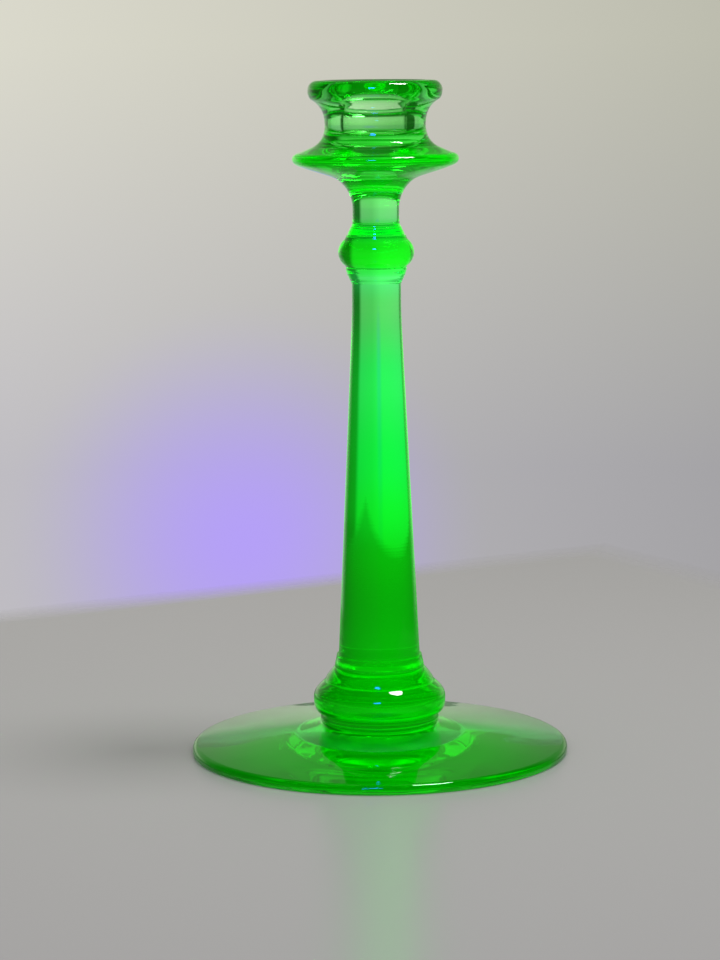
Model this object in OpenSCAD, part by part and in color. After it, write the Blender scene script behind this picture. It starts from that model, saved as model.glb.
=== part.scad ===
// Candlestick of yellow-green uranium glass, hand built from solid gathers.
// Every piece is turned about the Z axis and is fused to the next on a flat
// round face. Z = 0 is the table, and the axis is the candle's own.

/* [Foot] */
// Diameter of the disc foot
foot_d = 129; // [110:1:150]
// Thickness of the foot at its rim
foot_edge_h = 3.4; // [2.8:0.1:5]
// Height of the foot where the merese sits on it
foot_h = 9.4; // [8:0.1:12]
// Rounding of the rim's upper corner
foot_edge_round = 2.2; // [1:0.1:2.6]
// Width of the flat ring that the foot stands on
bearing_w = 6; // [3:0.5:10]
// Height of the hollow under the foot
hollow_h = 0.6; // [0.4:0.1:2]
// Diameter of the ground pontil recess in the middle of the hollow
pontil_d = 53; // [30:1:70]
// Extra depth of the pontil recess
pontil_h = 0.5; // [0.3:0.1:1.2]

/* [Base] */
// Diameter of the thin merese between the foot and the base knop
merese_d = 40.6; // [34:0.2:42]
// Height of the merese
merese_h = 4.3; // [3:0.1:6]
// Diameter of the drum-shaped base knop
knop_d = 45.2; // [43:0.2:50]
// Height of the base knop
knop_h = 10.5; // [9:0.1:14]
// Diameter of the sloping shoulder ring on the base knop
shoulder_d = 37.6; // [34:0.2:40]
// Height of the shoulder ring
shoulder_h = 5.2; // [4:0.1:7]
// Diameter of the thin ring that the stem is seated on
seat_d = 30.6; // [29:0.2:32]
// Height of the seat ring
seat_h = 4.1; // [3:0.1:6]

/* [Stem] */
// Diameter at the bottom of the stem
stem_bottom_d = 27.8; // [24:0.2:28.4]
// Diameter at the top of the stem
stem_top_d = 16.6; // [14:0.2:18]
// Length of the stem
stem_h = 127.3; // [90:0.1:160]
// Length of the parallel top of the stem, with its blend into the taper
stem_straight_h = 20; // [10:1:40]

/* [Knop] */
// Height of each of the two wafers under the ball knop
wafer_h = 2.6; // [2:0.1:4]
// Diameter of the ball knop
ball_d = 25.6; // [24:0.2:30]
// Height of the ball knop
ball_h = 11; // [10:0.1:12]
// Diameter at the top and bottom of the ball knop
ball_end_d = 20.3; // [18.7:0.1:21]
// Height of the collar on the ball knop
collar_h = 2.7; // [2:0.1:4]

/* [Neck and drip pan] */
// Smallest diameter of the neck
neck_d = 15.7; // [13:0.1:16.4]
// Length of the neck
neck_h = 15.8; // [13:0.1:20]
// Diameter where the neck opens into the drip pan
neck_top_d = 25.6; // [20:0.2:28]
// Diameter of the drip pan
pan_d = 56; // [50:0.5:62]
// Height of the drip pan, from the neck to the cup
pan_h = 11; // [10:0.1:13]

/* [Candle cup] */
// Diameter of the cup's foot on the drip pan
cup_foot_d = 42.4; // [40:0.2:44]
// Smallest outside diameter of the cup
cup_waist_d = 33.9; // [31:0.1:36]
// Diameter of the everted lip
lip_d = 45.2; // [42:0.1:48]
// Height of the cup
cup_h = 22.1; // [20:0.1:26]
// Diameter of the candle bore
bore_d = 21.5; // [20:0.1:24]
// Depth of the candle bore below the lip
bore_depth = 19.4; // [18:0.1:20]
// Depth of the flared mouth above the straight bore
mouth_h = 7; // [5:0.5:8]
// Rounding in the bottom corner of the bore
bore_round = 1.5; // [0.5:0.1:2]

/* [Hidden] */

// Faces round the axis, and steps along each curved stretch of an outline
$fn = 96;
STEPS = 14;

// Heights of the fused faces, from the table up
merese_z = foot_h;
knop_z = merese_z + merese_h;
shoulder_z = knop_z + knop_h;
seat_z = shoulder_z + shoulder_h;
stem_z = seat_z + seat_h;
lower_wafer_z = stem_z + stem_h;
upper_wafer_z = lower_wafer_z + wafer_h;
ball_z = upper_wafer_z + wafer_h;
collar_z = ball_z + ball_h;
neck_z = collar_z + collar_h;
pan_z = neck_z + neck_h;
cup_z = pan_z + pan_h;
top_z = cup_z + cup_h;

// Colours of the glass, from the deep base to the paler stem
THICK = [0.05, 0.72, 0.08, 0.85];
MEDIUM = [0.2, 0.82, 0.25, 0.8];
THIN = [0.35, 0.75, 0.35, 0.7];

// A cubic curve from a to d that leaves a towards b and comes into d from c.
// The point at a is left out, because the stretch before it ends there.
function curve(a, b, c, d) =
    [for (i = [1:STEPS]) let (t = i / STEPS, u = 1 - t)
        u * u * u * a + 3 * u * u * t * b + 3 * u * t * t * c + t * t * t * d];

// A round stretch about a centre, between two angles from the level.
function arc(centre, r, from, to) =
    [for (i = [0:STEPS]) let (a = from + (to - from) * i / STEPS)
        centre + r * [cos(a), sin(a)]];

// A piece from its outline on one side of the axis: radius, then height.
module turned(colour, outline) {
    color(colour) rotate_extrude() polygon(outline);
}

// A solid piece between two flat faces, with a bulging edge that leans inwards.
module wafer(colour, z, h, bottom_r, top_r, bulge) {
    turned(colour, concat(
        [[0, z], [bottom_r, z]],
        curve([bottom_r, z], [bottom_r + bulge, z + h / 3], [top_r + bulge, z + h * 2 / 3],
              [top_r, z + h]),
        [[0, z + h]]));
}

// Shallow conical disc with a rounded rim. It is hollow underneath, so that it
// stands on a ring, and a ground pontil recess is sunk into the hollow.
module foot() {
    r = foot_d / 2;
    join_r = merese_d / 2 - 0.5;
    fillet_w = 3.6;
    fillet_h = 0.8;
    under_round = 0.6;
    ring_r = r - bearing_w;
    turned(THIN, concat(
        [[0, hollow_h + pontil_h], [pontil_d / 2 - 1, hollow_h + pontil_h],
         [pontil_d / 2, hollow_h]],
        curve([pontil_d / 2, hollow_h], [ring_r - 16, hollow_h], [ring_r - 6, 0], [ring_r, 0]),
        arc([r - under_round, under_round], under_round, -90, 0),
        arc([r - foot_edge_round, foot_edge_h - foot_edge_round], foot_edge_round, 0, 84),
        [[join_r + fillet_w, foot_h - fillet_h]],
        curve([join_r + fillet_w, foot_h - fillet_h], [join_r + 1.6, foot_h - 0.5],
              [join_r + 0.4, foot_h - 0.4], [join_r, foot_h]),
        [[0, foot_h]]));
}

// Thin button of glass that joins the base knop to the foot
module foot_merese() {
    end_r = merese_d / 2 - 0.5;
    wafer(THICK, merese_z, merese_h, end_r, end_r, 0.66);
}

// Drum-shaped knop, the widest of the stack, rounded over at the top
module base_knop() {
    r = knop_d / 2;
    z = knop_z;
    widest_z = z + knop_h / 2;
    bottom_r = merese_d / 2;
    top_r = shoulder_d / 2 + 0.2;
    turned(THICK, concat(
        [[0, z], [bottom_r, z]],
        curve([bottom_r, z], [r - 0.2, z + 0.2], [r, widest_z - 2.6], [r, widest_z]),
        curve([r, widest_z], [r, widest_z + 1.9], [r - 1.6, z + knop_h - 1.7],
              [top_r, z + knop_h]),
        [[0, z + knop_h]]));
}

// Sloping ring that carries the outline from the knop up to the stem
module shoulder_ring() {
    r = shoulder_d / 2;
    z = shoulder_z;
    turned(THICK, concat(
        [[0, z], [r, z]],
        curve([r, z], [r - 0.3, z + shoulder_h * 0.29], [seat_d / 2 + 1, z + shoulder_h * 0.75],
              [seat_d / 2, z + shoulder_h]),
        [[0, z + shoulder_h]]));
}

// Thin ring under the bottom of the stem
module seat_ring() {
    wafer(THICK, seat_z, seat_h, seat_d / 2 - 0.1, seat_d / 2 - 0.75, 0.12);
}

// Long column: it tapers evenly, and then runs parallel near the top
module stem() {
    bottom_r = stem_bottom_d / 2;
    top_r = stem_top_d / 2;
    z = stem_z;
    blend_z = z + stem_h - stem_straight_h;
    blend_r = top_r + 0.44;
    turned(MEDIUM, concat(
        [[0, z], [bottom_r, z], [blend_r, blend_z]],
        curve([blend_r, blend_z], [blend_r - 0.25, blend_z + 5.3],
              [top_r, blend_z + 9.7], [top_r, blend_z + 15]),
        [[top_r, z + stem_h], [0, z + stem_h]]));
}

// Lower of the two wafers between the stem and the ball knop
module lower_wafer() {
    wafer(THICK, lower_wafer_z, wafer_h, stem_top_d / 2 + 0.2, stem_top_d / 2 + 1.1, 0.12);
}

// Upper of the two wafers between the stem and the ball knop
module upper_wafer() {
    wafer(THICK, upper_wafer_z, wafer_h, ball_end_d / 2 - 0.45, ball_end_d / 2 + 0.1, 0.12);
}

// Flattened ball with a small fillet at each end
module ball_knop() {
    round_r = ball_h / 2;
    centre = [ball_d / 2 - round_r, ball_z + ball_h / 2 - 0.3];
    end_r = ball_end_d / 2;
    low = centre + round_r * [cos(50), -sin(50)];
    high = centre + round_r * [cos(50), sin(50)];
    turned(MEDIUM, concat(
        [[0, ball_z], [end_r, ball_z]],
        curve([end_r, ball_z], [end_r + 0.2, ball_z + 0.5], low - [0.54, 0.46], low),
        arc(centre, round_r, -50, 50),
        curve(high, high + [-0.54, 0.46], [end_r + 0.1, ball_z + ball_h - 0.5],
              [end_r - 0.1, ball_z + ball_h]),
        [[0, ball_z + ball_h]]));
}

// Collar that the neck stands on
module neck_collar() {
    wafer(THICK, collar_z, collar_h, ball_end_d / 2 - 0.65, neck_d / 2 + 0.75, 0.16);
}

// Waisted neck that opens upwards into the drip pan
module neck() {
    r = neck_d / 2;
    z = neck_z;
    waist_z = z + neck_h * 0.3;
    flare_z = z + neck_h * 0.4;
    turned(MEDIUM, concat(
        [[0, z], [r + 0.6, z]],
        curve([r + 0.6, z], [r + 0.15, z + 0.6], [r, z + 1.7], [r, waist_z]),
        [[r, flare_z]],
        curve([r, flare_z], [r, z + neck_h * 0.62], [r + 1.75, z + neck_h * 0.855],
              [neck_top_d / 2, z + neck_h]),
        [[0, z + neck_h]]));
}

// Broad pan that catches the wax, thin at its rounded edge
module drip_pan() {
    r = pan_d / 2;
    z = pan_z;
    tip_z = z + pan_h * 0.63;
    foot_r = cup_foot_d / 2;
    top = z + pan_h;
    turned(THICK, concat(
        [[0, z], [neck_top_d / 2, z]],
        curve([neck_top_d / 2, z], [neck_top_d / 2 + 1.8, z + 1.4], [r - 7.5, tip_z - 4.4],
              [r - 2.1, tip_z - 2.2]),
        curve([r - 2.1, tip_z - 2.2], [r - 0.8, tip_z - 1.7], [r, tip_z - 1], [r, tip_z]),
        curve([r, tip_z], [r, tip_z + 1], [r - 0.8, tip_z + 1.8], [r - 2.1, tip_z + 2.15]),
        curve([r - 2.1, tip_z + 2.15], [r - 3.6, tip_z + 2.6], [foot_r + 1.1, top - 0.5],
              [foot_r, top]),
        [[0, top]]));
}

// Waisted cup with an everted lip, bored for the candle
module candle_cup() {
    z = cup_z;
    foot_r = cup_foot_d / 2;
    waist_r = cup_waist_d / 2;
    waist_z = z + cup_h * 0.33;
    lip_r = lip_d / 2;
    lip_z = top_z - 3.3;
    crest_r = lip_r - 3.2;
    bore_r = bore_d / 2;
    mouth_z = top_z - mouth_h;
    floor_z = top_z - bore_depth;
    turned(THICK, concat(
        [[0, z], [foot_r, z]],
        curve([foot_r, z], [foot_r - 2.6, z + 1.2], [waist_r, waist_z - 3.5],
              [waist_r, waist_z]),
        curve([waist_r, waist_z], [waist_r, waist_z + 3.8], [waist_r + 1.25, lip_z - 5],
              [lip_r - 1.3, lip_z - 3.2]),
        curve([lip_r - 1.3, lip_z - 3.2], [lip_r - 0.45, lip_z - 2.7],
              [lip_r, lip_z - 1.5], [lip_r, lip_z]),
        curve([lip_r, lip_z], [lip_r, lip_z + 1.9], [crest_r + 1.7, top_z], [crest_r, top_z]),
        curve([crest_r, top_z], [crest_r - 2.9, top_z], [bore_r, mouth_z + 4],
              [bore_r, mouth_z]),
        arc([bore_r - bore_round, floor_z + bore_round], bore_round, 0, -90),
        [[0, floor_z]]));
}

foot();
foot_merese();
base_knop();
shoulder_ring();
seat_ring();
stem();
lower_wafer();
upper_wafer();
ball_knop();
neck_collar();
neck();
drip_pan();
candle_cup();
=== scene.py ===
# %% [markdown]
# # A uranium glass candlestick
# The real object is glass from end to end. A glassmaker gathered each piece on the
# iron, shaped it on the axis, and fused it hot to the one before. The CAD model
# holds all thirteen pieces at their real sizes and places, so this script begins
# by loading it, and measures each size and place from it.

# %% Load the frame
import math

import bpy
from mathutils import Matrix, Vector


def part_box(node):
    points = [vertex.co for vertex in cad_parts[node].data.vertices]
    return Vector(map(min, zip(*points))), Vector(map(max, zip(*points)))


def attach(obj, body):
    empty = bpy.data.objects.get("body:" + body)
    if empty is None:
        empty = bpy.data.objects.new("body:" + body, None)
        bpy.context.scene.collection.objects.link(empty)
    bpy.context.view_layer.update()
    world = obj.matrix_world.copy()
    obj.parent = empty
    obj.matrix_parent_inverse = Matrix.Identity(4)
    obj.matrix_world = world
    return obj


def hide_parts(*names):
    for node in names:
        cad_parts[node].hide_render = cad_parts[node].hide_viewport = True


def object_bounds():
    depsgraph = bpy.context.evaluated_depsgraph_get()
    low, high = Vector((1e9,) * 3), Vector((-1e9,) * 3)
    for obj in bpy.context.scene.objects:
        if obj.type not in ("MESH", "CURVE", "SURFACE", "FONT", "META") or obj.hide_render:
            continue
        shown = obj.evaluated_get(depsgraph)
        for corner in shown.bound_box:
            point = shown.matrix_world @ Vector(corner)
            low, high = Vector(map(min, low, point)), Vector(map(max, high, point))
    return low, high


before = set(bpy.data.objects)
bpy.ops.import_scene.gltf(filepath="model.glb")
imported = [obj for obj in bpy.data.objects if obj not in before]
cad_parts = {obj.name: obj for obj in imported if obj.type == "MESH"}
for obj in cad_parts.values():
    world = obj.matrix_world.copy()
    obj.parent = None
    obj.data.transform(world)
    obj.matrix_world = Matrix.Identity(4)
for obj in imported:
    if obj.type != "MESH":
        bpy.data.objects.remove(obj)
cad_low, cad_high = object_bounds()
MM = 0.001
HEIGHT = cad_high.z
# the pieces from the table up
STACK = sorted(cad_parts, key=lambda name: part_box(name)[0].z)
print("pieces:", ", ".join(STACK))

# %% [markdown]
# ## Camera
# A long lens from about a metre away keeps the column's sides straight, and gives
# the foot, the pan and the lip their flat ellipses. The camera stands a little
# above the cup and looks down past it. It is rolled by half a degree,
# because a camera held in the hand is never quite level.

# %% Set up the camera
LENS_MM = 110.3
SENSOR_MM = 36
CAMERA_AT = Vector((0, -0.990, 0.2412))
CAMERA_AIM = Vector((-0.0061, 0, 0.0937))
CAMERA_ROLL = math.radians(-0.50)


def turned_to(place, aim, roll=0.0):
    """The rotation that turns a camera or a lamp at place towards aim."""
    turn = (aim - place).to_track_quat("-Z", "Y").to_matrix()
    return (turn @ Matrix.Rotation(roll, 3, "Z")).to_quaternion()


bpy.ops.object.select_all(action="DESELECT")
bpy.ops.object.camera_add(location=CAMERA_AT)
camera = bpy.context.object
camera.name = "camera"
camera.data.lens = LENS_MM
camera.data.sensor_width = SENSOR_MM
camera.rotation_mode = "QUATERNION"
camera.rotation_quaternion = turned_to(CAMERA_AT, CAMERA_AIM, CAMERA_ROLL)
bpy.context.scene.camera = camera
print("camera", round((CAMERA_AIM - CAMERA_AT).length, 3), "m from its aim")

# %% [markdown]
# ## Shader maths
# A material is a graph of nodes, which is hard to read in a script. This class
# wraps one output of a node, so that sums on it can be written as plain Python.
# Every other node comes from its one method, `node`.


# %% A value that can be added and multiplied
class Value:
    """One output in a node tree. Sums on it add Math nodes."""

    def __init__(self, tree, socket=None):
        self.tree = tree
        self.socket = socket

    def node(self, kind, settings, inputs, output=0):
        """Adds a node: its settings first, then a value or a link for each input."""
        new = self.tree.nodes.new(kind)
        for name, setting in settings.items():
            if name == "stops":
                set_stops(new.color_ramp, setting)
            else:
                setattr(new, name, setting)
        for key, given in inputs.items():
            if isinstance(given, Value):
                self.tree.links.new(given.socket, new.inputs[key])
            else:
                new.inputs[key].default_value = given
        return None if output is None else Value(self.tree, new.outputs[output])

    def mix(self, share, low, high, how="MIX"):
        """A colour between low and high, or the product of the two with MULTIPLY."""
        settings = {"data_type": "RGBA", "blend_type": how}
        return self.node("ShaderNodeMix", settings, {0: share, 6: low, 7: high}, 2)

    def grey_ramp(self, share, pairs, low, high):
        """A grey that follows pairs of a place from low to high and a brightness."""
        stops = [((place - low) / (high - low), (grey,) * 3) for place, grey in pairs]
        return self.node("ShaderNodeValToRGB", {"stops": stops}, {"Fac": share})

    def maths(self, operation, a, b):
        """A Math node that works on two values."""
        return self.node("ShaderNodeMath", {"operation": operation}, {0: a, 1: b})

    def __add__(self, other):
        return self.maths("ADD", self, other)

    def __sub__(self, other):
        return self.maths("SUBTRACT", self, other)

    def __rsub__(self, other):
        return self.maths("SUBTRACT", other, self)

    def __mul__(self, other):
        return self.maths("MULTIPLY", self, other)

    __radd__ = __add__
    __rmul__ = __mul__


def set_stops(ramp, stops):
    """Gives a colour ramp its stops, each a place from 0 to 1 and a colour."""
    ramp.interpolation = "EASE"
    for _ in stops[2:]:
        ramp.elements.new(1)
    for element, (place, colour) in zip(ramp.elements, stops):
        element.position = place
        element.color = (*colour, 1)


# %% [markdown]
# ## The studio
# Glass has hardly any colour of its own: it shows what stands round it. A bright
# backdrop fills it with light, and two dark cards, one at each side, draw its
# edges. So the world is a pale backdrop, with a little violet low on the left from
# the torch, and only the rays that have met the glass see the cards and the dim
# ceiling. Rays that have met the table see an even light, so its light is soft.

# %% Make the world
BACKDROP_LEFT = (0.70, 0.69, 0.60)
BACKDROP_RIGHT = (0.50, 0.50, 0.42)
# the backdrop's shade near the table
DUSK = (0.74, 0.73, 0.90)
VIOLET_POOL = (0.46, 0.34, 0.98)
VIOLET_TOWARDS = Vector((-0.045, 0.985, -0.168)).normalized()
VIOLET_SPREAD = 0.085
EVEN_LIGHT = (0.58, 0.57, 0.58)
# how fast the backdrop changes from left to right, and how fast dusk falls
SIDEWAYS, DUSK_FALL = 4.0, 7.0
# the cards: brightness by azimuth in degrees, from straight behind, right being plus
CARDS = [(-180, 0.8), (-96, 0.8), (-88, 0.05), (-62, 0.05), (-52, 1.0), (26, 1.0), (36, 0.04),
         (92, 0.04), (100, 0.8), (180, 0.8)]
# the room that glints off the front and the sides of the glass is dark
FRONT = [(-180, 0.10), (-60, 0.10), (-30, 1.0), (30, 1.0), (60, 0.10), (180, 0.10)]
# how bright the surroundings are by the height of the direction, from down to up
CEILING = [(-1.0, 0.3), (-0.5, 0.4), (-0.3, 1.0), (0.32, 1.1), (0.48, 0.5), (0.7, 0.06),
           (1.0, 0.1)]
GLINT_CEILING = [(-1.0, 0.3), (-0.5, 0.4), (-0.3, 1.0), (0.12, 1.0), (0.22, 0.55), (0.42, 0.35),
                 (0.62, 0.08), (1.0, 0.2)]


def make_world():
    """A pale backdrop, with dark cards and a dim ceiling that only the glass sees."""
    world = bpy.data.worlds.new("studio")
    bpy.context.scene.world = world
    world.use_nodes = True
    world.node_tree.nodes.clear()
    new = Value(world.node_tree)
    towards = new.node("ShaderNodeTexCoord", {}, {}, "Generated")
    right = new.node("ShaderNodeSeparateXYZ", {}, {"Vector": towards}, "X")
    ahead = new.node("ShaderNodeSeparateXYZ", {}, {"Vector": towards}, "Y")
    up = new.node("ShaderNodeSeparateXYZ", {}, {"Vector": towards}, "Z")
    plain = new.mix(right * SIDEWAYS + 0.5, (*BACKDROP_LEFT, 1), (*BACKDROP_RIGHT, 1))
    plain = new.mix(up * -DUSK_FALL, plain, new.mix(1.0, plain, (*DUSK, 1), "MULTIPLY"))
    apart = new.node("ShaderNodeVectorMath", {"operation": "DISTANCE"}, {
        0: towards, 1: VIOLET_TOWARDS}, "Value")
    pool = new.grey_ramp(apart * (1 / VIOLET_SPREAD), [(0, 0.9), (1, 0)], 0, 1)
    backdrop = new.mix(pool, plain, (*VIOLET_POOL, 1))
    azimuth = new.maths("ARCTAN2", right, ahead) * (1 / math.tau) + 0.5
    through = new.mix(1.0, new.grey_ramp(azimuth, CARDS, -180, 180),
                      new.grey_ramp(up * 0.5 + 0.5, CEILING, -1, 1), "MULTIPLY")
    glints = new.mix(1.0, new.grey_ramp(azimuth, FRONT, -180, 180),
                     new.grey_ramp(up * 0.5 + 0.5, GLINT_CEILING, -1, 1), "MULTIPLY")
    refracted = new.node("ShaderNodeLightPath", {}, {}, "Is Transmission Ray")
    dimmed = new.mix(1.0, backdrop, new.mix(refracted, glints, through), "MULTIPLY")
    seen = new.node("ShaderNodeLightPath", {}, {}, "Is Camera Ray")
    from_table = new.node("ShaderNodeLightPath", {}, {}, "Is Diffuse Ray")
    colour = new.mix(from_table, new.mix(seen, dimmed, backdrop), (*EVEN_LIGHT, 1))
    light = new.node("ShaderNodeBackground", {}, {"Color": colour, "Strength": 1.0})
    new.node("ShaderNodeOutputWorld", {}, {"Surface": light}, None)


make_world()
print("world", bpy.context.scene.world.name)

# %% [markdown]
# ## The table top
# A plain pale square of smooth board stands for the table, with one corner away from
# the camera. Its edge fades out into the backdrop. A dark card with a round hole
# for the foot lies on it for the glass alone: a ray that has met the glass finds the
# board dark outside the hole, so that the glass shows deep green edges. The camera
# itself still sees pale board, beside the foot and down through it.

# %% Make the table top
TABLE_SIDE = 0.61
TABLE_PALE = (0.46, 0.455, 0.46)
TABLE_CARD = (0.10, 0.10, 0.11)
CARD_HOLE_R = 0.070
# how wide the soft edge of that hole is
CARD_HOLE_EDGE = 0.012
TABLE_ROUGH = 0.27
TABLE_TURN = 14.8 - 45
TABLE_FADE = 0.03
# a hair of air is left between the table and the foot
TABLE_Z = -0.03 * MM


def make_table():
    """A plain pale square table top, which fades out at its edge."""
    bpy.ops.object.select_all(action="DESELECT")
    bpy.ops.mesh.primitive_plane_add(size=TABLE_SIDE, location=(0, 0, TABLE_Z))
    table = bpy.context.object
    table.name = "table_top"
    table.rotation_euler.z = math.radians(-TABLE_TURN)
    material = bpy.data.materials.new("pale table")
    material.use_nodes = True
    material.node_tree.nodes.clear()
    new = Value(material.node_tree)
    place = new.node("ShaderNodeTexCoord", {}, {}, "Object")
    from_middle = new.node("ShaderNodeVectorMath", {"operation": "ABSOLUTE"}, {0: place})
    x = new.node("ShaderNodeSeparateXYZ", {}, {"Vector": from_middle}, "X")
    y = new.node("ShaderNodeSeparateXYZ", {}, {"Vector": from_middle}, "Y")
    inside = (TABLE_SIDE / 2 - new.maths("MAXIMUM", x, y)) * (1 / TABLE_FADE)
    shown = new.node("ShaderNodeClamp", {}, {"Value": inside})
    reach = new.node("ShaderNodeVectorMath", {"operation": "LENGTH"}, {0: place}, "Value")
    hole = new.node("ShaderNodeClamp", {}, {"Value": (CARD_HOLE_R - reach) * (1 / CARD_HOLE_EDGE) + 0.5})
    seen = new.node("ShaderNodeLightPath", {}, {}, "Is Camera Ray")
    shader = new.node("ShaderNodeBsdfPrincipled", {}, {
        "Base Color": new.mix(new.maths("MAXIMUM", seen, hole), (*TABLE_CARD, 1), (*TABLE_PALE, 1)),
        "Roughness": TABLE_ROUGH,
        "Alpha": shown,
    })
    new.node("ShaderNodeOutputMaterial", {}, {"Surface": shader}, None)
    table.data.materials.append(material)
    return table


table = make_table()
print("table top", TABLE_SIDE, "m square")

# %% [markdown]
# ## Lamps
# A round soft lamp overhead, a little to the right, makes the white glints on the
# lip, the pan, the base knop and the rim of the foot. A violet lamp in front, above
# the line to the camera, stands for the torch and gives each round piece its blue
# glint. No lamp makes the glass glow. Its glow is painted light, painted into the
# glass as emission, and comes next.

# %% Place the lamps
LAMP_AIM = Vector((0, 0, 0.6 * HEIGHT))


def lamp(name, place, across, watts, colour):
    """A round lamp turned towards the candlestick."""
    bpy.ops.object.select_all(action="DESELECT")
    bpy.ops.object.light_add(type="AREA", location=place)
    made = bpy.context.object
    made.name = name
    made.data.shape = "DISK"
    made.data.size = across
    made.data.energy = watts
    made.data.color = colour
    made.rotation_mode = "QUATERNION"
    made.rotation_quaternion = turned_to(place, LAMP_AIM)
    print(name, round((place - LAMP_AIM).length, 2), "m away,", watts, "W")
    return made


lamp("soft lamp", Vector((0.23, 0.0, 0.78)), 0.21, 2.6, (1.0, 0.99, 0.96))
torch = lamp("violet torch", Vector((-0.05, -0.49, 0.516)), 0.13, 1.1, (0.02, 0.12, 1.0))
torch.visible_diffuse = False

# %% [markdown]
# ## The glass
# Uranium glass is clear, yellow-green glass that glows bright green in violet
# light. Three things make that look. The surface refracts, as any glass does. The
# inside takes away red and blue with depth, so that a thick knop is deep green
# and a thin rim is nearly clear. And a green light comes off it for the glow. That
# light is painted light, painted into its surface as emission.
#
# The painted glow changes with height. It is brightest where most of the violet light
# falls, on the upper half of the stem. The tint changes with height too. So
# both are colour ramps that read the height on the piece's own Object coordinates.
# Violet light comes from the front, and more of it from the right, and the glass
# soaks it up. So the painted glow is strongest on that side, which is a painted lit side.
#
# The pieces are fused, so nothing shows where one meets the next. Each piece has
# an attribute, `fused`, that is 1 on its joint faces, and there its alpha is 0.
# The maker's tools left fine rings round the piece. They are a noise stretched
# into flat bands, as a bump.

# %% Set the painted glow and the tint by height
# the painted glow, which is light painted into the glass as emission, by height in mm
PAINTED_GLOW = [
    (2, (0.0, 0.01, 0.0)),
    (9, (0.0, 0.075, 0.0)),
    (12, (0.0, 0.07, 0.0)),
    (19, (0.0, 0.16, 0.0)),
    (30, (0.0, 0.20, 0.0)),
    (50, (0.0, 0.16, 0.0)),
    (70, (0.0, 0.20, 0.0)),
    (85, (0.0, 0.28, 0.005)),
    (125, (0.0, 0.28, 0.01)),
    (155, (0.0, 0.13, 0.005)),
    (163, (0.01, 0.21, 0.04)),
    (168, (0.0, 0.20, 0.0)),
    (174, (0.0, 0.11, 0.0)),
    (178, (0.0, 0.23, 0.01)),
    (184, (0.0, 0.09, 0.005)),
    (193, (0.0, 0.14, 0.0)),
    (202, (0.0, 0.125, 0.0)),
    (208, (0.0, 0.02, 0.0)),
    (218, (0.0, 0.02, 0.0)),
    (228, (0.0, 0.02, 0.0)),
]
# what the surface lets through, by height in mm
TINT = [
    (8, (1.0, 1.0, 1.0)),
    (13, (0.10, 0.90, 0.12)),
    (22, (0.05, 0.70, 0.05)),
    (60, (0.05, 0.75, 0.05)),
    (80, (0.05, 0.95, 0.15)),
    (100, (0.06, 1.0, 0.40)),
    (130, (0.25, 1.0, 0.7)),
    (152, (0.8, 1.0, 0.8)),
    (162, (0.6, 1.0, 0.85)),
    (168, (0.10, 1.0, 0.10)),
    (178, (0.10, 1.0, 0.10)),
    (183, (1.0, 1.0, 1.0)),
    (192, (1.0, 1.0, 1.0)),
    (198, (0.15, 0.9, 0.15)),
    (204, (0.1, 0.85, 0.1)),
    (212, (0.82, 0.98, 0.76)),
    (218, (0.95, 1.0, 0.92)),
    (223, (0.97, 1.0, 0.93)),
    (227, (0.35, 0.9, 0.35)),
]
print("glow at", len(PAINTED_GLOW), "heights, tint at", len(TINT))

# %% Read a colour by height, and the painted light by side
# the side where the painted glow is strongest, which is a painted lit side
PAINTED_LIT_SIDE = Vector((0.42, -0.907, 0)).normalized()
# near the axis the two sides run into each other
CORE_R = 4 * MM
# the painted glow's level round the piece, before it leans to the painted lit side
EVEN_PAINTED_GLOW = 1.2


def up_the_piece(new, place, colours):
    """A colour that changes with height: colours are pairs of a height in mm and a colour."""
    up = new.node("ShaderNodeSeparateXYZ", {}, {"Vector": place}, "Z") * (1 / HEIGHT)
    stops = [(height * MM / HEIGHT, colour) for height, colour in colours]
    return new.node("ShaderNodeValToRGB", {"stops": stops}, {"Fac": up})


def painted_lit_side(new, place, painted_side_lean):
    """How strongly the painted glow shines: by painted_side_lean, more on the side that the violet light
    meets, which is a painted lit side.
    """
    level = new.node("ShaderNodeVectorMath", {"operation": "MULTIPLY"}, {0: place, 1: (1, 1, 0)})
    facing = new.node("ShaderNodeVectorMath", {"operation": "DOT_PRODUCT"}, {
        0: level, 1: PAINTED_LIT_SIDE}, "Value")
    reach = new.node("ShaderNodeVectorMath", {"operation": "LENGTH"}, {0: level}, "Value")
    share = new.maths("DIVIDE", facing, reach + CORE_R)
    return new.maths("MAXIMUM", share, 0.0) * painted_side_lean + (EVEN_PAINTED_GLOW - painted_side_lean / 2)


print("the glow is strongest towards", [round(part, 2) for part in PAINTED_LIT_SIDE])

# %% Make the glass material
GLASS_IOR = 1.52
NO_LIGHT = (0.0, 0.0, 0.0, 1)
# the size of the faint clouds in the glass, and how much they dim its painted glow
CLOUD_SCALE, CLOUD_DIM, CLOUD_ROUGH = 30.0, 0.4, 0.02
# tool marks run round the piece, so they change fast only with height
TOOL_SCALE = (25, 25, 900)
SWELL_SCALE, SWELL_H = 40.0, 0.0002


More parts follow.
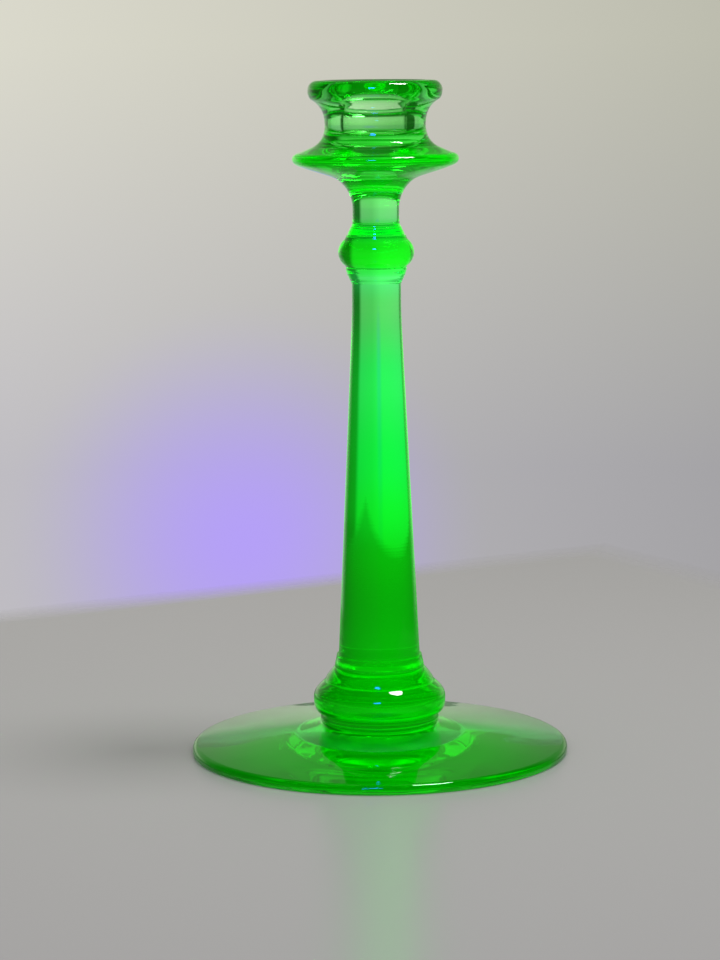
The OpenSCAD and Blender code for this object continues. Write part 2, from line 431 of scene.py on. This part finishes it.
def glass(name, kept, density, rings, painted_side_lean):
    """Uranium glass. kept is the colour that it lets through, density is how soon it
    takes the rest away, rings is the height of the tool marks, and painted_side_lean is
    how much more the painted glow shines on the side of the violet light, which is a painted lit side."""
    material = bpy.data.materials.new(name)
    material.use_nodes = True
    material.node_tree.nodes.clear()
    new = Value(material.node_tree)
    place = new.node("ShaderNodeTexCoord", {}, {}, "Object")
    fused = new.node("ShaderNodeAttribute", {"attribute_name": "fused"}, {}, "Fac")
    cloud = new.node("ShaderNodeTexNoise", {}, {
        "Vector": place, "Scale": CLOUD_SCALE, "Detail": 2.0})
    # the painted glow: emission by height, stronger on the painted lit side
    glow = new.mix(1.0, up_the_piece(new, place, PAINTED_GLOW), painted_lit_side(new, place, painted_side_lean), "MULTIPLY")
    clouded_painted_glow = new.mix(cloud * CLOUD_DIM, glow, (0.5, 0.5, 0.5, 1), "MULTIPLY")
    flat = new.node("ShaderNodeMapping", {}, {"Vector": place, "Scale": TOOL_SCALE})
    tooling = new.node("ShaderNodeTexNoise", {}, {"Vector": flat, "Scale": 1.0, "Detail": 2.0})
    swell = new.node("ShaderNodeTexNoise", {}, {
        "Vector": place, "Scale": SWELL_SCALE, "Detail": 1.0})
    bump = new.node("ShaderNodeBump", {}, {
        "Strength": 1.0, "Distance": 1.0, "Height": tooling * rings + swell * SWELL_H})
    shader = new.node("ShaderNodeBsdfPrincipled", {}, {
        "Base Color": up_the_piece(new, place, TINT),
        "Roughness": cloud * CLOUD_ROUGH,
        "IOR": GLASS_IOR,
        "Transmission Weight": 1.0,
        "Alpha": 1 - fused,
        "Normal": bump,
        "Emission Color": new.mix(fused, clouded_painted_glow, NO_LIGHT),
        "Emission Strength": 1.0,
    })
    inside = new.node("ShaderNodeVolumeAbsorption", {}, {
        "Color": (*kept, 1), "Density": density})
    new.node("ShaderNodeOutputMaterial", {}, {"Surface": shader, "Volume": inside}, None)
    return material


# the last number is how much stronger the painted glow is on the painted lit side
GLASS = {
    "foot_glass": glass("foot glass", (0.03, 0.975, 0.30), 140.0, 1e-5, 0.3),
    "base_glass": glass("base glass", (0.03, 0.965, 0.10), 180.0, 1e-5, 1.6),
    "stem_glass": glass("stem glass", (0.03, 0.985, 0.20), 90.0, 1e-5, 1.5),
    "cup_glass": glass("cup glass", (0.03, 0.975, 0.15), 65.0, 3e-5, 0.4),
}
print("glasses:", ", ".join(GLASS))

# %% [markdown]
# ## Curves for an outline
# A turned piece is known by its outline on one side of the axis. Two helpers draw
# the round stretches, as points of radius and height in millimetres. The first is
# a free curve between two pulls, and the second is part of a circle.

# %% Draw curves and arcs
CURVE_STEPS = 20


def curve(start, pull_out, pull_in, end):
    """The points from start, which is left out, to end, on a cubic curve."""
    points = []
    for step in range(1, CURVE_STEPS + 1):
        t = step / CURVE_STEPS
        u = 1 - t
        shares = (u ** 3, 3 * u * u * t, 3 * u * t * t, t ** 3)
        corners = (start, pull_out, pull_in, end)
        points.append(tuple(sum(s * c[i] for s, c in zip(shares, corners)) for i in (0, 1)))
    return points


def arc(centre, radius, first, last):
    """The points on a circle between two angles in degrees from level."""
    angles = [math.radians(first + (last - first) * n / CURVE_STEPS) for n in range(CURVE_STEPS + 1)]
    return [(centre[0] + radius * math.cos(a), centre[1] + radius * math.sin(a)) for a in angles]


print("a curve has", len(curve((0, 0), (1, 0), (2, 1), (2, 2))), "points")

# %% [markdown]
# ## Measure the CAD pieces
# An outline starts from the piece's height above the table, its own height, its
# widest radius, and the radius of the flat face at each end. All of them are
# measured on the CAD piece. Where the neighbour's face is smaller, only the part
# that it covers is fused.


# %% Measure a piece
def end_radius(name, height):
    """The radius of the flat face that a CAD piece has at this height, in millimetres."""
    radii = [
        math.hypot(vertex.co.x, vertex.co.y) / MM
        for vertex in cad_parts[name].data.vertices
        if abs(vertex.co.z - height) < 0.001 * MM
    ]
    return max(radii)


class Size:
    """What an outline needs to know about one CAD piece, in millimetres."""

    def __init__(self, name):
        low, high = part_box(name)
        self.z = low.z / MM
        self.top = high.z / MM
        self.h = self.top - self.z
        self.r = high.x / MM
        self.bottom_r = end_radius(name, low.z)
        self.top_r = end_radius(name, high.z)


SIZE = {name: Size(name) for name in STACK}
for name, size in SIZE.items():
    ends = f"ends {size.bottom_r:5.2f} {size.top_r:5.2f}"
    print(f"{name:14s} z {size.z:6.1f} h {size.h:6.1f} r {size.r:5.2f} {ends}")

# %% [markdown]
# ## Turn a piece
# One point of glass is drawn out along the outline, and the line is then spun
# round the axis, as on a lathe. The seam and the two poles are merged, and the
# normals are turned outwards after that. Glass shows every facet, so the spin has
# many steps. The joint faces stand a hair apart, so that no two faces are in the
# same place.

# %% Spin an outline into a piece
SPIN_STEPS = 144
JOINT_GAP = 0.01
WELD = 0.002


def joint_radius(name, above):
    """The radius over which a piece is fused to its neighbour, above or below it."""
    place = STACK.index(name)
    if above:
        if place + 1 == len(STACK):
            return 0.0
        return min(SIZE[name].top_r, SIZE[STACK[place + 1]].bottom_r)
    if place == 0:
        return 0.0
    return min(SIZE[name].bottom_r, SIZE[STACK[place - 1]].top_r)


def drawn_line(outline):
    """A chain of points in the plane of the axis: one point, extruded again and again."""
    bpy.ops.object.select_all(action="DESELECT")
    r, z = outline[0]
    bpy.ops.mesh.primitive_plane_add(size=MM, location=(0, 0, 0))
    bpy.ops.object.mode_set(mode="EDIT")
    bpy.ops.mesh.merge(type="CENTER")
    bpy.ops.transform.translate(value=(r * MM, 0, z * MM))
    for (r0, z0), (r1, z1) in zip(outline, outline[1:]):
        step = ((r1 - r0) * MM, 0, (z1 - z0) * MM)
        bpy.ops.mesh.extrude_vertices_move(TRANSFORM_OT_translate={"value": step})
    return bpy.context.object


def turned(name, outline, slot):
    """A closed piece of glass from its outline between its two ends, as radius and height."""
    size = SIZE[name]
    low, high = size.z + JOINT_GAP, size.top - JOINT_GAP
    below, above = joint_radius(name, False), joint_radius(name, True)
    line = list(outline)
    if below:
        if line[0][0] - below > WELD:
            line.insert(0, (below, line[0][1]))
        line.insert(0, (0, line[0][1]))
    if above:
        if line[-1][0] - above > WELD:
            line.append((above, line[-1][1]))
        line.append((0, line[-1][1]))
    # a fused end stands a hair inside the piece's box
    line = [(r, min(max(z, low if below else z), high if above else z)) for r, z in line]
    piece = drawn_line(line)
    bpy.ops.mesh.select_all(action="SELECT")
    bpy.ops.mesh.spin(steps=SPIN_STEPS, angle=math.tau, center=(0, 0, 0), axis=(0, 0, 1))
    bpy.ops.mesh.select_all(action="SELECT")
    bpy.ops.mesh.remove_doubles(threshold=WELD * MM)
    bpy.ops.mesh.select_all(action="SELECT")
    bpy.ops.mesh.normals_make_consistent(inside=False)
    bpy.ops.object.mode_set(mode="OBJECT")
    bpy.ops.object.shade_smooth_by_angle(angle=math.radians(32))
    piece.name = name
    piece.data.name = name
    mark_fused(piece, [(low, below), (high, above)])
    piece.data.materials.append(GLASS[slot])
    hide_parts(name)
    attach(piece, "root")
    print(name, len(piece.data.polygons), "faces")
    return piece


def mark_fused(piece, joints):
    """Gives each face inside a joint the value 1 in the attribute, and all the others 0."""
    mark = piece.data.attributes.new("fused", "FLOAT", "FACE")
    for face in piece.data.polygons:
        corners = [piece.data.vertices[v].co / MM for v in face.vertices]
        for height, radius in joints:
            flat = all(abs(c.z - height) < WELD for c in corners)
            inside = all(math.hypot(c.x, c.y) < radius + WELD for c in corners)
            if flat and inside:
                mark.data[face.index].value = 1.0


# %% [markdown]
# ## The foot
# The foot is a shallow cone with a rounded rim. Underneath it is hollow, so that it
# stands on a ring, and its middle has the ground patch where the iron was broken
# off.

# %% Make the foot
foot = SIZE["foot"]
EDGE_H, EDGE_ROUND = 3.4, 2.2
FILLET_W, FILLET_H = 3.6, 0.8
BEARING_W, HOLLOW_H, PONTIL_R, PONTIL_H = 6.0, 0.6, 26.5, 0.5
UNDER_ROUND = 0.6
ring_r = foot.r - BEARING_W
fillet = (foot.top_r + FILLET_W, foot.top - FILLET_H)
turned("foot", [
    (0, HOLLOW_H + PONTIL_H),
    (PONTIL_R - 1, HOLLOW_H + PONTIL_H),
    (PONTIL_R, HOLLOW_H),
    *curve((PONTIL_R, HOLLOW_H), (ring_r - 16, HOLLOW_H), (ring_r - 6, 0), (ring_r, 0)),
    *arc((foot.r - UNDER_ROUND, UNDER_ROUND), UNDER_ROUND, -90, 0),
    *arc((foot.r - EDGE_ROUND, EDGE_H - EDGE_ROUND), EDGE_ROUND, 0, 84),
    fillet,
    *curve(fillet, (foot.top_r + 1.6, foot.top - 0.5), (foot.top_r + 0.4, foot.top - 0.4),
           (foot.top_r, foot.top)),
], "foot_glass")

# %% [markdown]
# ## The wafers
# Thin buttons of glass join the larger pieces. Each one has a bulging edge that
# leans in or out, from the radius of its lower face to the radius of its upper one.


# %% Make the wafers
def wafer(name, bulge, slot):
    """A thin button between two flat faces, with a bulging edge."""
    s = SIZE[name]
    edge = curve((s.bottom_r, s.z), (s.bottom_r + bulge, s.z + s.h / 3),
                 (s.top_r + bulge, s.top - s.h / 3), (s.top_r, s.top))
    turned(name, [(s.bottom_r, s.z), *edge], slot)


wafer("foot_merese", 0.66, "base_glass")
wafer("seat_ring", 0.12, "base_glass")
wafer("lower_wafer", 0.12, "stem_glass")
wafer("upper_wafer", 0.12, "stem_glass")
wafer("neck_collar", 0.16, "stem_glass")

# %% [markdown]
# ## The base knop and its shoulder
# The drum-shaped knop is the widest of the stack. It swells to its middle and rolls
# over at the top, and the shoulder ring slopes from it to the stem.

# %% Make the base knop and the shoulder ring
knop = SIZE["base_knop"]
widest_z = knop.z + knop.h / 2
widest = (knop.r, widest_z)
turned("base_knop", [
    (knop.bottom_r, knop.z),
    *curve((knop.bottom_r, knop.z), (knop.r - 0.2, knop.z + 0.2), (knop.r, widest_z - 2.6), widest),
    *curve(widest, (knop.r, widest_z + 1.9), (knop.r - 1.6, knop.top - 1.7), (knop.top_r, knop.top)),
], "base_glass")

ring = SIZE["shoulder_ring"]
turned("shoulder_ring", [
    (ring.bottom_r, ring.z),
    *curve((ring.bottom_r, ring.z), (ring.r - 0.3, ring.z + ring.h * 0.29),
           (ring.top_r + 1, ring.z + ring.h * 0.75), (ring.top_r, ring.top)),
], "base_glass")

# %% [markdown]
# ## The stem
# The long column tapers evenly, and then runs parallel near its top.

# %% Make the stem
stem = SIZE["stem"]
STRAIGHT_H = 20
blend_z = stem.top - STRAIGHT_H
blend = (stem.top_r + 0.44, blend_z)
turned("stem", [
    (stem.bottom_r, stem.z),
    blend,
    *curve(blend, (blend[0] - 0.25, blend_z + 5.3), (stem.top_r, blend_z + 9.7),
           (stem.top_r, blend_z + 15)),
    (stem.top_r, stem.top),
], "stem_glass")

# %% [markdown]
# ## The ball knop and the neck
# The ball is a flattened one, with a small fillet into each neighbour. The neck is
# waisted, and opens upwards into the drip pan.

# %% Make the ball knop and the neck
ball = SIZE["ball_knop"]
BALL_OPEN = 50
BALL_LOW = 0.3
round_r = ball.h / 2
centre = (ball.r - round_r, ball.z + round_r - BALL_LOW)
cos_open, sin_open = math.cos(math.radians(BALL_OPEN)), math.sin(math.radians(BALL_OPEN))
lower = (centre[0] + round_r * cos_open, centre[1] - round_r * sin_open)
upper = (centre[0] + round_r * cos_open, centre[1] + round_r * sin_open)
turned("ball_knop", [
    (ball.bottom_r, ball.z),
    *curve((ball.bottom_r, ball.z), (ball.bottom_r + 0.2, ball.z + 0.5),
           (lower[0] - 0.54, lower[1] - 0.46), lower),
    *arc(centre, round_r, -BALL_OPEN, BALL_OPEN)[1:],
    *curve(upper, (upper[0] - 0.54, upper[1] + 0.46), (ball.top_r + 0.2, ball.top - 0.5),
           (ball.top_r, ball.top)),
], "stem_glass")

neck = SIZE["neck"]
neck_r = neck.bottom_r - 0.6
waist_z, flare_z = neck.z + neck.h * 0.3, neck.z + neck.h * 0.4
turned("neck", [
    (neck.bottom_r, neck.z),
    *curve((neck.bottom_r, neck.z), (neck_r + 0.15, neck.z + 0.6), (neck_r, neck.z + 1.7),
           (neck_r, waist_z)),
    (neck_r, flare_z),
    *curve((neck_r, flare_z), (neck_r, neck.z + neck.h * 0.62),
           (neck_r + 1.75, neck.z + neck.h * 0.855), (neck.top_r, neck.top)),
], "stem_glass")

# %% [markdown]
# ## The drip pan
# The pan is broad and thin at its rounded edge, to catch the wax.

# %% Make the drip pan
pan = SIZE["drip_pan"]
tip_z = pan.z + pan.h * 0.63
under_tip, tip, over_tip = (pan.r - 2.1, tip_z - 2.2), (pan.r, tip_z), (pan.r - 2.1, tip_z + 2.15)
turned("drip_pan", [
    (pan.bottom_r, pan.z),
    *curve((pan.bottom_r, pan.z), (pan.bottom_r + 1.8, pan.z + 1.4), (pan.r - 7.5, tip_z - 4.4),
           under_tip),
    *curve(under_tip, (pan.r - 0.8, tip_z - 1.7), (pan.r, tip_z - 1.0), tip),
    *curve(tip, (pan.r, tip_z + 1.0), (pan.r - 0.8, tip_z + 1.8), over_tip),
    *curve(over_tip, (pan.r - 3.6, tip_z + 2.6), (pan.top_r + 1.1, pan.top - 0.5),
           (pan.top_r, pan.top)),
], "cup_glass")

# %% [markdown]
# ## The candle cup
# The cup is waisted outside, with an everted lip. Inside, its mouth narrows to a
# straight bore for the candle, with a rounded corner at the floor.

# %% Make the candle cup
cup = SIZE["candle_cup"]
BORE_R, BORE_DEPTH, MOUTH_H, BORE_ROUND = 10.75, 19.4, 7.0, 1.5
waist_r = 16.95
waist = (waist_r, cup.z + cup.h * 0.33)
lip_z = cup.top - 3.3
under_lip, lip, crest = (cup.r - 1.3, lip_z - 3.2), (cup.r, lip_z), (cup.r - 3.2, cup.top)
mouth = (BORE_R, cup.top - MOUTH_H)
floor_z = cup.top - BORE_DEPTH
turned("candle_cup", [
    (cup.bottom_r, cup.z),
    *curve((cup.bottom_r, cup.z), (cup.bottom_r - 2.6, cup.z + 1.2), (waist_r, waist[1] - 3.5), waist),
    *curve(waist, (waist_r, waist[1] + 3.8), (waist_r + 1.25, lip_z - 5.0), under_lip),
    *curve(under_lip, (cup.r - 0.45, lip_z - 2.7), (cup.r, lip_z - 1.5), lip),
    *curve(lip, (cup.r, lip_z + 1.9), (crest[0] + 1.7, cup.top), crest),
    *curve(crest, (crest[0] - 2.9, cup.top), (BORE_R, mouth[1] + 4), mouth),
    *arc((BORE_R - BORE_ROUND, floor_z + BORE_ROUND), BORE_ROUND, 0, -90),
    (0, floor_z),
], "cup_glass")

# %% [markdown]
# ## Light paths
# A ray that crosses the cup meets many surfaces on its way, so it is followed
# for longer than usual.

# %% Let light pass through many surfaces
scene = bpy.context.scene
scene.cycles.max_bounces = 24
scene.cycles.transmission_bounces = 24
scene.cycles.glossy_bounces = 8
scene.cycles.transparent_max_bounces = 64
scene.cycles.sample_clamp_indirect = 4.0
scene.view_settings.view_transform = "Standard"
print("a ray may meet", scene.cycles.max_bounces, "surfaces")
